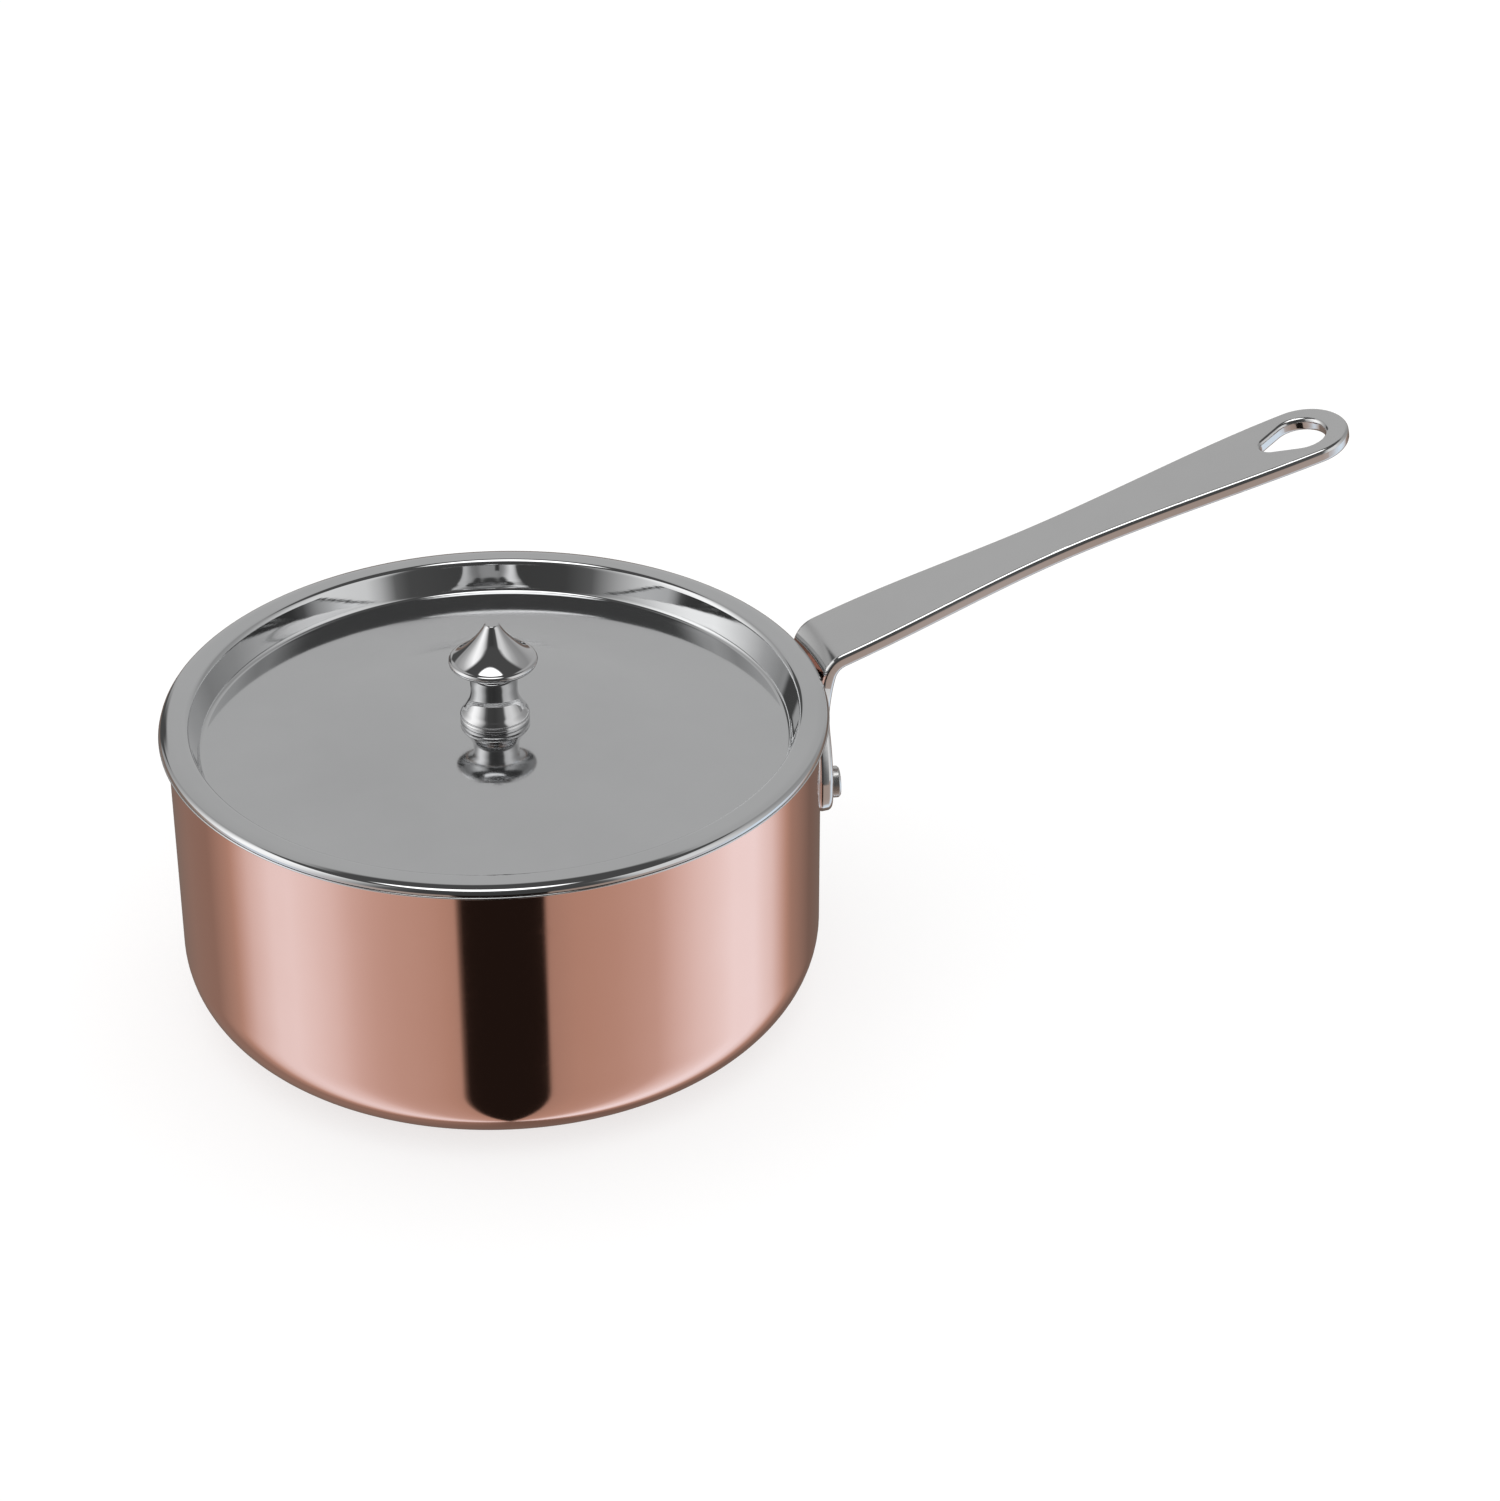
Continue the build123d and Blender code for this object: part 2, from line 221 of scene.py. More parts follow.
def lightStudio():
    # what polished metal mirrors: a card low down, two soft boxes, a grey wall behind and a lamp overhead
    world = bpy.data.worlds.new("studio")
    scene.world = world
    world.use_nodes = True
    tree = world.node_tree
    n = Nodes(tree)
    facing = n.node("ShaderNodeTexCoord", {}, {}, "Generated")
    turned = n.node("ShaderNodeVectorRotate", dict(rotation_type="Z_AXIS"),
                    {"Vector": facing, "Angle": radians(studio["cameraSide"])})
    x, y, z = n.separate(turned)
    around = x.arctan2(-y) / (2 * pi) + 0.5    # 0.5 is the camera's side, more is to its right
    lift = z.arcsine() * (180 / pi)            # degrees above level

    low = greyRamp(n, around, studio["lowBand"])
    high = greyRamp(n, around, studio["highBand"])
    behind = (around - 0.5).absolute().step(0.33, 0.4)
    top = studio["boxTop"] + behind * (studio["wallTop"] - studio["boxTop"])
    above = (lift - top).step(-3, 3)
    high = high * (1 - above) + studio["ceiling"] * above
    toLamp = n.node("ShaderNodeVectorMath", dict(operation="DOT_PRODUCT"),
                    [turned, studio["lampFacing"]], "Value")
    lampEdge = [cos(radians(studio["lampSpread"] + soft)) for soft in (2, -2)]
    high = high + toLamp.step(*lampEdge, 0.0, studio["lampBrightness"])
    # a narrow black flag stands low, behind on the left
    flagWidth = (around - studio["flagPlace"]).absolute().step(*studio["flagEdges"], 1.0, 0.0)
    flag = flagWidth * lift.step(*studio["flagTop"], 1.0, 0.0)
    high = high * (1 - flag) + studio["ceiling"] * flag
    # low light is warm where it is dim and cool where it is bright
    stops = [(0.0, studio["warmLow"]), (0.45, studio["warmLow"]), (0.9, studio["paleHigh"])]
    warmth = n.node("ShaderNodeValToRGB", dict(stops=stops), {"Fac": low})
    lowColour = n.mixColour(1.0, warmth, n.combine(low, low, low), "MULTIPLY")
    glow = n.mixColour(lift.step(-6, -1), lowColour, n.combine(high, high, high))

    plain = n.node("ShaderNodeLightPath", {}, {}, "Is Camera Ray").most(
        n.node("ShaderNodeLightPath", {}, {}, "Is Diffuse Ray"))
    colour = n.mixColour(plain, glow, (*studio["roomWhite"], 1))
    tree.links.new(colour.socket, tree.nodes["Background"].inputs["Color"])
    tree.nodes["Background"].inputs["Strength"].default_value = 1.0


def greyRamp(n, around, band):
    # brightness by degrees round from the camera's side
    stops = [((degrees + 180) / 360, (value / 2,) * 3) for degrees, value in band]
    return n.node("ShaderNodeSeparateColor", {}, [n.node("ShaderNodeValToRGB", dict(stops=stops), {"Fac": around})]) * 2


lightStudio()

lamps = [  # name, place, aim, size, watts
    ("ceilingLamp", (0.0, 0.0, 2.2), (0.05, 0, 0), 2.6, 12),
]
for name, place, aim, size, watts in lamps:
    lamp = bpy.data.objects.new(name, bpy.data.lights.new(name, "AREA"))
    scene.collection.objects.link(lamp)
    lamp.data.size = size
    lamp.data.energy = watts
    lamp.location = place
    lamp.rotation_euler = (Vector(aim) - Vector(place)).to_track_quat("-Z", "Y").to_euler()
    lamp.visible_glossy = False


# Outlines and turned pieces

def bend(before, corner, after, radius, steps):
    # the arc that rounds one corner
    into, away = (before - corner).normalized(), (after - corner).normalized()
    half = into.angle(away) / 2
    start, end = corner + into * (radius / tan(half)), corner + away * (radius / tan(half))
    centre = corner + (into + away).normalized() * (radius / sin(half))
    first, last = start - centre, end - centre
    sweep = first.angle_signed(last)
    arc = []
    for i in range(steps + 1):
        angle = -sweep * i / steps
        arc.append(centre + Vector((first.x * cos(angle) - first.y * sin(angle),
                                    first.x * sin(angle) + first.y * cos(angle))))
    return arc


def outline(corners, closed=True, steps=10, spacing=2.0 * mm, guard=0.12 * mm):
    # corners as (x, y, rounding); straight runs get points just inside their ends
    count = len(corners)
    arcs = []
    for i, (x, y, radius) in enumerate(corners):
        here = Vector((x, y))
        if radius and (closed or 0 < i < count - 1):
            before = Vector(corners[i - 1][:2])
            after = Vector(corners[(i + 1) % count][:2])
            arcs.append(bend(before, here, after, radius, steps))
        else:
            arcs.append([here])
    points = []
    for i, arc in enumerate(arcs):
        points += arc
        if i == count - 1 and not closed:
            break
        start, end = arc[-1], arcs[(i + 1) % count][0]
        run = end - start
        if run.length < 3 * guard:
            continue
        pieces = max(1, round(run.length / spacing))
        points.append(start + run.normalized() * guard)
        points += [start + run * (k / pieces) for k in range(1, pieces)]
        points.append(end - run.normalized() * guard)
    return points


def newPiece(name, mesh, material, body, nodes):
    for polygon in mesh.polygons:
        polygon.use_smooth = True
    mesh.materials.clear()
    mesh.materials.append(material)
    piece = bpy.data.objects.new(name, mesh)
    scene.collection.objects.link(piece)
    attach(piece, body)
    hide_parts(*nodes)
    return piece


def tidyMesh(shape, gap=1e-7):
    bmesh.ops.remove_doubles(shape, verts=shape.verts, dist=gap)
    bmesh.ops.dissolve_degenerate(shape, edges=shape.edges, dist=gap)
    bmesh.ops.recalc_face_normals(shape, faces=shape.faces)


def turn(name, profile, around=192, closed=True):
    # spins an outline of (radius, height) round Z; ends on the axis become poles
    shape = bmesh.new()
    rings = []
    for r, z in profile:
        if r < 1e-7:
            rings.append([shape.verts.new((0, 0, z))] * around)
            continue
        rings.append([shape.verts.new((r * cos(2 * pi * k / around), r * sin(2 * pi * k / around), z))
                      for k in range(around)])
    count = len(rings)
    for i in range(count if closed else count - 1):
        low, high = rings[i], rings[(i + 1) % count]
        for k in range(around):
            m = (k + 1) % around
            corners = [low[k], low[m], high[m], high[k]]
            corners = [v for j, v in enumerate(corners) if v not in corners[:j]]
            if len(corners) > 2:
                shape.faces.new(corners)
    tidyMesh(shape)
    mesh = bpy.data.meshes.new(name)
    shape.to_mesh(mesh)
    shape.free()
    return mesh


# Finishes

def startMaterial(name, metallic=1.0):
    material = bpy.data.materials.new(name)
    material.use_nodes = True
    n = Nodes(material.node_tree)
    surface = material.node_tree.nodes["Principled BSDF"]
    surface.inputs["Metallic"].default_value = metallic
    place = n.node("ShaderNodeTexCoord", {}, {}, "Object")
    return material, n, surface, place


def feed(n, surface, **sockets):
    names = dict(colour="Base Color", roughness="Roughness", normal="Normal")
    for key, wire in sockets.items():
        n.tree.links.new(wire.socket, surface.inputs[names[key]])


def stretch(n, place, scale, shift=(0, 0, 0)):
    return n.node("ShaderNodeMapping", {}, {"Vector": place, "Scale": scale, "Location": shift})


def wheelPlace(n, place, share, along):
    # coordinates that run with the lathe: angle, height, distance from the axis
    x, y, z = n.separate(place)
    radius = (x * x + y * y).power(0.5)
    return n.combine(n.node("ShaderNodeMath", dict(operation="ARCTAN2"), [y, x]) * share, z * along, radius * along)


def copperFinish():
    material, n, surface, place = startMaterial("copper")
    cloud = n.noise(place, 14, 4, 0.6)
    haze = n.noise(place, 55, 3, 0.55)
    colour = n.mixColour(cloud.step(0.3, 0.7), (0.945, 0.62, 0.53, 1), (0.925, 0.59, 0.497, 1))
    spin = n.noise(wheelPlace(n, place, 1.2, 2600), 1.0, 3, 0.6)
    # rubbing marks: long faint scratches in three directions
    marks = []
    for scale, shift in (((9, 9, 900), (0, 0, 0)), ((700, 40, 260), (3, 1, 2)), ((60, 800, 180), (7, 4, 1))):
        grain = n.noise(stretch(n, place, scale, shift), 1.0, 2, 0.5)
        marks.append((grain - 0.5).absolute().step(0.0, 0.012, 1.0, 0.0))
    rubbed = (marks[0] * 0.5 + marks[1] * 0.35 + marks[2] * 0.3) * haze.step(0.35, 0.65)
    roughness = 0.055 + haze * 0.03 + rubbed * 0.05
    height = spin * 0.5 + rubbed * -0.5
    feed(n, surface, colour=colour, roughness=roughness, normal=n.bump(height, 0.06, 0.00002))
    return material


def steelFinish(name, colour, roughness, lathe=2200, bite=0.05, turned=True, brightPast=None):
    material, n, surface, place = startMaterial(name)
    cloud = n.noise(place, 22, 4, 0.6)
    low = tuple(0.96 * c for c in colour)
    shade = n.mixColour(cloud.step(0.3, 0.7), (*colour, 1), (*low, 1))
    if turned:
        grain = n.noise(wheelPlace(n, place, 1.5, lathe), 1.0, 3, 0.65)
    else:
        grain = n.noise(stretch(n, place, (120, lathe, lathe)), 1.0, 3, 0.65)
    smear = n.noise(place, 160, 3, 0.6)
    rough = roughness + (grain - 0.5) * 0.06 + (smear - 0.5) * 0.04
    if brightPast:    # mirror polish outside this radius
        x, y, z = n.separate(place)
        rough = rough * (x * x + y * y).step((brightPast - mm) ** 2, (brightPast + mm) ** 2, 1.0, 0.3)
    feed(n, surface, colour=shade, roughness=rough, normal=n.bump(grain, bite, 0.00002))
    return material


copper = copperFinish()
liningSteel = steelFinish("liningSteel", (0.70, 0.70, 0.70), 0.10, brightPast=79.7 * mm)
lidSteel = steelFinish("lidSteel", (0.66, 0.665, 0.67), 0.08, brightPast=73 * mm)
knobSteel = steelFinish("knobSteel", (0.66, 0.66, 0.665), 0.03)
handleSteel = steelFinish("handleSteel", (0.69, 0.69, 0.69), 0.10, 900, 0.05, False)
rivetSteel = steelFinish("rivetSteel", (0.70, 0.70, 0.69), 0.28)
coreMetal = steelFinish("coreMetal", (0.80, 0.80, 0.81), 0.35)


# Pan: copper wall, drawn by Geometry Nodes from its outline

print("pan")
pan = dict(
    copper=0.8 * mm,
    core=0.7 * mm,
    liner=0.5 * mm,
    corner=18.5 * mm,      # outside, between the wall and the base
    lipDepth=1.8 * mm,
    lipEdge=0.5 * mm,
    lipLedge=1.45 * mm,
    lipCrown=0.6 * mm,
    lipRounding=0.5 * mm,
    around=288,
    rows=110,
    clear=0.03 * mm,       # keeps the lip and the lid inside the measured edge
    crownDip=0.1 * mm,
    crownRounding=1.0 * mm,
    ledgeRounding=0.1 * mm,
)
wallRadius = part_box("copper_shell")[1].x
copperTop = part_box("copper_shell")[1].z
lipRadius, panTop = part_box("steel_liner")[1].x - pan["clear"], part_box("steel_liner")[1].z


def shellTree():
    tree = bpy.data.node_groups.new("copperWall", "GeometryNodeTree")
    panel = tree.interface
    for name, kind in (("Radius", "Float"), ("Corner", "Float"), ("Sheet", "Float"), ("Top", "Float"),
                       ("Around", "Int"), ("Rows", "Int"), ("Material", "Material")):
        panel.new_socket(name, in_out="INPUT", socket_type="NodeSocket" + kind)
    panel.new_socket("Geometry", in_out="OUTPUT", socket_type="NodeSocketGeometry")
    n = Nodes(tree)
    given = tree.nodes.new("NodeGroupInput")
    radius, corner, sheet, top, around, rows, material = [Wire(n, out) for out in given.outputs[:7]]
    grid = n.node("GeometryNodeMeshGrid", {}, {"Size X": 1.0, "Size Y": 1.0,
                                               "Vertices X": around, "Vertices Y": rows * 2})
    u, v, _ = n.separate(n.node("GeometryNodeInputPosition"))
    row = ((v + 0.5) * (rows * 2 - 1) + 0.5).floor()
    inside = row.above(rows - 0.5)
    step = row.least(rows * 2 - 1 - row)
    # how far along the outline, with one narrow row at the rim
    outer = radius - sheet * inside
    bendRadius = corner - sheet * inside
    flat = outer - bendRadius
    arc = bendRadius * (pi / 2)
    upright = top - corner
    guard = 0.00006
    length = flat + arc + upright - guard
    s = (step / (rows - 2)).least(1.0) * length + step.above(rows - 1.5) * guard
    angle = ((s - flat) / bendRadius).most(0.0).least(pi / 2)
    r = s.least(flat) + bendRadius * angle.sine()
    z = sheet * inside + bendRadius * (1 - angle.cosine()) + (s - flat - arc).most(0.0)
    turned = (u + 0.5) * (2 * pi)
    placed = n.node("GeometryNodeSetPosition", {}, {"Geometry": grid, "Position": n.combine(
        r * turned.cosine(), r * turned.sine(), z)})
    merged = n.node("GeometryNodeMergeByDistance", {}, {"Geometry": placed, "Distance": 0.000002})
    smooth = n.node("GeometryNodeSetShadeSmooth", {}, {"Geometry": merged})
    done = n.node("GeometryNodeSetMaterial", {}, {"Geometry": smooth, "Material": material})
    n.tree.links.new(done.socket, tree.nodes.new("NodeGroupOutput").inputs[0])
    return tree


def runTree(name, tree, values):
    # a plain mesh from a node group and its named inputs
    holder = bpy.data.objects.new(name, bpy.data.meshes.new(name))
    scene.collection.objects.link(holder)
    modifier = holder.modifiers.new(name, "NODES")
    modifier.node_group = tree
    for item in tree.interface.items_tree:
        if item.in_out == "INPUT" and item.name in values:
            modifier[item.identifier] = values[item.name]
    scene.view_layers[0].update()
    drawn = holder.evaluated_get(bpy.context.evaluated_depsgraph_get())
    mesh = bpy.data.meshes.new_from_object(drawn)
    holder.modifiers.remove(modifier)
    bpy.data.objects.remove(holder)
    return mesh


shellMesh = runTree("copperWall", shellTree(), dict(
    Radius=wallRadius, Corner=pan["corner"], Sheet=pan["copper"], Top=copperTop,
    Around=pan["around"] + 1, Rows=pan["rows"], Material=copper))


def outward(mesh):
    shape = bmesh.new()
    shape.from_mesh(mesh)
    tidyMesh(shape)
    shape.to_mesh(mesh)
    shape.free()


outward(shellMesh)
newPiece("copperShell", shellMesh, copper, "pan", ["copper_shell"])

# Pan: steel lining with its lip rolled out over the copper
linerInside = wallRadius - pan["copper"] - pan["core"] - pan["liner"]
linerOutside = linerInside + pan["liner"]
linerFloor = pan["copper"] + pan["core"]
linerCorner = pan["corner"] - pan["copper"] - pan["core"]
lipCorner = 0.49 * pan["lipEdge"]
lipUnder = panTop - pan["lipDepth"]
lining = outline([
    (0, linerFloor, 0),
    (linerOutside, linerFloor, linerCorner),
    (linerOutside, lipUnder, 0),
    (lipRadius, lipUnder, lipCorner),
    (lipRadius, lipUnder + pan["lipEdge"], lipCorner),
    (lipRadius - pan["lipLedge"], lipUnder + pan["lipEdge"], pan["ledgeRounding"]),
    (linerInside + 2.5 * pan["lipCrown"], panTop - pan["crownDip"], pan["crownRounding"]),
    (linerInside + pan["lipCrown"], panTop, 0),
    (linerInside, panTop, pan["lipRounding"]),
    (linerInside, linerFloor + pan["liner"], linerCorner - pan["liner"]),
    (0, linerFloor + pan["liner"], 0),
], closed=False)
newPiece("steelLining", turn("steelLining", lining, 256, False), liningSteel, "pan", ["steel_liner"])

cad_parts["aluminium_core"].data.materials.clear()
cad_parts["aluminium_core"].data.materials.append(coreMetal)


# Lid: one spun sheet, from its edge to the middle

print("lid")
lidSizes = dict(
    sheet=0.95 * mm,
    fallWidth=2.4 * mm,        # outer part of the flange, which slopes to the edge
    fall=18,                   # degrees
    seatGap=0.05 * mm,         # between the edge and the lip
    fallRounding=7 * mm,
    edgeRounding=1.1 * mm,
    edgeBulge=0.35,            # roundness of the sheet's cut edge
    recessRadius=77.15 * mm,   # middle of the sheet, where the recess wall starts
    slant=2.5 * mm,
    depth=8.2 * mm,
    topRounding=1.3 * mm,
    footRounding=1.8 * mm,
    ringRadius=64 * mm,        # level outside this, domed inside
    turnRadius=43 * mm,        # crowned inside this, hollow outside
    landRadius=9.95 * mm,
    domeRise=4.9 * mm,
    screwHole=2.2 * mm,
)
lidRadius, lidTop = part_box("lid")[1].x - pan["clear"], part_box("lid")[1].z
ringHeight = lidTop - lidSizes["depth"]


def domeLine():
    # heights of the lid's floor from the level ring in to the screw hole
    a, b, c = lidSizes["landRadius"], lidSizes["turnRadius"], lidSizes["ringRadius"]
    drop = lidSizes["domeRise"] * (b - a) / (c - a)
    crownRadius = ((b - a) ** 2 + drop ** 2) / (2 * drop)
    rise = lidSizes["domeRise"] - drop
    hollowRadius = ((c - b) ** 2 + rise ** 2) / (2 * rise)
    seat = ringHeight + lidSizes["domeRise"]
    points = []
    steps = 60
    for i in range(steps + 1):
        r = c - (c - a) * i / steps
        if r > b:
            z = ringHeight + hollowRadius - sqrt(hollowRadius ** 2 - (c - r) ** 2)
        else:
            z = seat - crownRadius + sqrt(crownRadius ** 2 - (r - a) ** 2)
        points.append(Vector((r, z)))
    points += [Vector((r * mm, seat)) for r in (8, 6, 4)]
    points.append(Vector((lidSizes["screwHole"], seat)))
    return points


half = lidSizes["sheet"] / 2
lidEdge = lipUnder + pan["lipEdge"] + lidSizes["seatGap"]
fallDrop = lidSizes["fallWidth"] * tan(radians(lidSizes["fall"]))
lidMiddle = outline([
    (lidRadius - half, lidEdge + half * lidSizes["edgeBulge"], 0),
    (lidRadius - half, lidTop - half - fallDrop, lidSizes["edgeRounding"]),
    (lidRadius - half - lidSizes["fallWidth"], lidTop - half, lidSizes["fallRounding"]),
    (lidSizes["recessRadius"], lidTop - half, lidSizes["topRounding"]),
    (lidSizes["recessRadius"] - lidSizes["slant"], ringHeight - half, lidSizes["footRounding"]),
    (lidSizes["ringRadius"] + 1 * mm, ringHeight - half, 0),
], closed=False)
lidMiddle += [p - Vector((0, half)) for p in domeLine()]


def sheetOutline(middle, half):
    # both faces of a sheet along its middle line, with a round edge at the start
    top, under = [], []
    for i, p in enumerate(middle):
        along = (middle[min(i + 1, len(middle) - 1)] - middle[max(i - 1, 0)]).normalized()
        side = Vector((along.y, -along.x)) * half
        top.append(p + side)
        under.append(p - side)
    first = middle[0]
    ahead = (middle[0] - middle[1]).normalized() * half * lidSizes["edgeBulge"]
    across = top[0] - first
    edge = [first + ahead * sin(k * pi / 12) - across * cos(k * pi / 12) for k in range(1, 12)]
    return under[::-1] + edge + top


lidMesh = turn("lidSheet", sheetOutline(lidMiddle, half), 256)
newPiece("lidSheet", lidMesh, lidSteel, "lid", ["lid"])

# Knob, washer and screw
knobSizes = dict(
    foot=[(8.75, 1.66), (7.5, 3.7), (6.2, 6.6), (6.0, 10.0), (6.6, 13.6), (10.2, 15.9)],
    hat=[(10.2, 17.8), (5.2, 22.2), (2.0, 26.7)],
    footBand=1.5 * mm,
    footEase=0.2 * mm,
    groove=0.14 * mm,
    brimRadius=11.15 * mm,
    brimEdge=1.9 * mm,
    height=27.2 * mm,
)
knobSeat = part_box("lid_knob")[0].z


def curveThrough(places, leave, arrive, steps=14):
    # a smooth line through places in millimetres, with the directions it leaves and arrives in
    points = [Vector(place) * mm for place in places]
    slopes = [(after - before) / 2 for before, after in zip(points, points[2:])]
    first = Vector(leave).normalized() * (points[1] - points[0]).length
    last = Vector(arrive).normalized() * (points[-1] - points[-2]).length
    slopes = [first, *slopes, last]
    line = []
    for (start, end), (go, come) in zip(zip(points, points[1:]), zip(slopes, slopes[1:])):
        pull = (end - start).length / 3
        one, two = start + go.normalized() * pull, end - come.normalized() * pull
        curve = interpolate_bezier(start.to_3d(), one.to_3d(), two.to_3d(), end.to_3d(), steps)
        line += [p.xy for p in curve][:-1]
    return line + [points[-1]]


def knobLine():
    k = knobSizes
    foot, band, groove, edge = k["foot"][0][0] * mm, k["footBand"], k["groove"], k["brimEdge"] / 2
    ease = k["footEase"]    # rounds the foot's lower edge
    line = [Vector((0, 0)), Vector((foot - 1.5 * ease, 0)),
            Vector((foot - 0.3 * ease, 0.25 * ease)), Vector((foot, ease))]
    line += [Vector((foot, band - groove)), Vector((foot - groove / 2, band - groove * 0.8)),
             Vector((foot - groove, band)), Vector((foot - groove / 2, band + groove * 0.8))]
    line += curveThrough(k["foot"], (0, 1), (1, 0.3))
    middle = Vector((k["brimRadius"] - edge, k["foot"][-1][1] * mm + edge))
    line += [middle + Vector((sin(a), -cos(a))) * edge for a in [pi * i / 10 for i in range(1, 10)]]
    line += curveThrough(k["hat"], (-1, 0.6), (-0.5, 1), 22)
    tip, top = k["hat"][-1][0], k["height"] / mm
    line += curveThrough([(tip - 0.25, top - 0.15), (tip - 1.0, top), (0, top)], (-1, 0.8), (-1, 0), 6)
    return [Vector((max(p.x, 0), p.y + knobSeat)) for p in line]


knobMesh = turn("turnedKnob", knobLine(), 192, False)
newPiece("turnedKnob", knobMesh, knobSteel, "lid", ["lid_knob"])

fixing = dict(
    rounding=0.25 * mm,        # of the washer's edges
    headRounding=1.2 * mm,
    tipRounding=0.3 * mm,
    edgeRounding=0.1 * mm,
    shank=2.0 * mm,
    recessLength=4.4 * mm,     # the cross in the screw's head
    recessWidth=1.1 * mm,
    recessDepth=1.4 * mm,
)
washerLow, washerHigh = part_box("knob_washer")
washer = outline([
    (lidSizes["screwHole"], washerLow.z, fixing["rounding"]),
    (washerHigh.x, washerLow.z, fixing["rounding"]),
    (washerHigh.x, washerHigh.z, fixing["rounding"]),
    (lidSizes["screwHole"], washerHigh.z, fixing["rounding"]),
])
newPiece("washer", turn("washer", washer, 128), rivetSteel, "lid", ["knob_washer"])

screwLow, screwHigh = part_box("knob_screw")
screw = outline([
    (0, screwLow.z, 0),
    (screwHigh.x, screwLow.z, fixing["headRounding"]),
    (screwHigh.x, washerLow.z, fixing["edgeRounding"]),
    (fixing["shank"], washerLow.z, fixing["edgeRounding"]),
    (fixing["shank"], screwHigh.z, fixing["tipRounding"]),
    (0, screwHigh.z, 0),
], closed=False)


def cutCross(mesh):
    # two slots across the head
    blank = bpy.data.objects.new("blank", mesh)
    scene.collection.objects.link(blank)
    tools = []
    longSide, shortSide = fixing["recessLength"], fixing["recessWidth"]
    for length, width in ((longSide, shortSide), (shortSide, longSide)):
        slot = bmesh.new()
        place = Matrix.Translation((0, 0, screwLow.z))
        size = Matrix.Diagonal((length, width, 2 * fixing["recessDepth"], 1))
        bmesh.ops.create_cube(slot, size=1, matrix=place @ size)
        tool = bpy.data.objects.new("tool", bpy.data.meshes.new("tool"))
        slot.to_mesh(tool.data)
        slot.free()
        scene.collection.objects.link(tool)
        cut = blank.modifiers.new("slot", "BOOLEAN")
        cut.object = tool
        tools.append(tool)
    bpy.context.view_layer.update()
    drawn = blank.evaluated_get(bpy.context.evaluated_depsgraph_get())
    finished = bpy.data.meshes.new_from_object(drawn)
    finished.name = "crossHead"
    for thing in [blank, *tools]:
        bpy.data.objects.remove(thing)
    return finished


newPiece("screw", cutCross(turn("screw", screw, 96, False)), rivetSteel, "lid", ["knob_screw"])


# Handle: a flat bar with round edges, cut to its outline and then bent

print("handle")
bar = dict(
    thickness=3.8 * mm,
    edge=1.25 * mm,            # rounding of the bar's edges
    lean=16.7,                 # degrees above level, where the blade leaves the bend
    droop=4.2,                 # degrees less at the tip
    standoff=4.0 * mm,
    bendHeight=0.7 * mm,
    bendRadius=6 * mm,
    crookDrop=12.3 * mm,
    crookRadius=20 * mm,
    rootWidth=22.2 * mm,
    waistWidth=16.3 * mm,
    waistReach=70 * mm,
    loopWidth=23.8 * mm,
    holeEnd=6.6 * mm,
    holeNeck=3.0 * mm,
    holeWall=6.0 * mm,         # metal past the hole, at the tip
    holeLength=17.6 * mm,
    lugWidth=49 * mm,
    lugCorner=7.5 * mm,
    lugNotch=2 * mm,
    archShare=0.45,
    tipClear=0.22 * mm,        # keeps the tip inside the measured end
)
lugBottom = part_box("handle")[0].z
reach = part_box("handle")[1].x - bar["tipClear"]
barMiddle = wallRadius + bar["thickness"] / 2
rivetLevel = sum(corner.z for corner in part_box("handle_rivet_left")) / 2


def barLine():
    # middle of the bar as (distance from the pan's axis, height), finely stepped
    start = Vector((barMiddle + bar["standoff"], panTop + bar["bendHeight"]))
    run = reach - start.x
    knee = start + Vector((1, tan(radians(bar["lean"])))) * (run / 2)
    end = knee + Vector((1, tan(radians(bar["lean"] - bar["droop"])))) * (run / 2 + bar["thickness"])
    arch = bar["archShare"] * run / tan(radians(bar["droop"] / 2))
    corners = [
        (barMiddle, lugBottom - bar["thickness"], 0),
        (barMiddle, panTop - bar["crookDrop"], bar["crookRadius"]),
        (*start, bar["bendRadius"]),
        (*knee, arch),
        (*end, 0),
    ]
    return outline(corners, closed=False, steps=60, spacing=0.5 * mm, guard=0.01 * mm)


class Path:
    # walks along a finely stepped line
    def __init__(self, points):
        self.points = points
        self.length = [0.0]
        for before, after in zip(points, points[1:]):
            self.length.append(self.length[-1] + (after - before).length)

    def at(self, s):
        i = min(max(bisect_right(self.length, s) - 1, 0), len(self.points) - 2)
        first, second = self.points[i], self.points[i + 1]
        share = (s - self.length[i]) / (self.length[i + 1] - self.length[i])
        return first + (second - first) * share

    def across(self, s, reachOut=0.3 * mm):
        along = (self.at(s + reachOut) - self.at(s - reachOut)).normalized()
        return Vector((-along.y, along.x))  # towards the pan on the lug, up on the blade

    def whereHeight(self, z):
        return self.search(lambda p: p.y - z)

    def whereRadius(self, r):
        return self.search(lambda p: p.x - r)

    def search(self, miss):
        low, high = 0.0, self.length[-1]
        for _ in range(40):
            middle = (low + high) / 2
            low, high = (low, middle) if miss(self.at(middle)) > 0 else (middle, high)
        return low


path = Path(barLine())
bendTop = path.whereRadius(barMiddle + bar["standoff"] + bar["bendRadius"])


def spline(start, startSlope, end, endSlope, steps):
    # a smooth line between two points, with the directions it leaves and arrives in
    third = (Vector(end) - Vector(start)).length / 3
    one = Vector(start) + Vector(startSlope).normalized() * third
    two = Vector(end) - Vector(endSlope).normalized() * third
    curve = interpolate_bezier(Vector((*start, 0)), one.to_3d(), two.to_3d(), Vector((*end, 0)), steps)
    return [p.xy for p in curve]


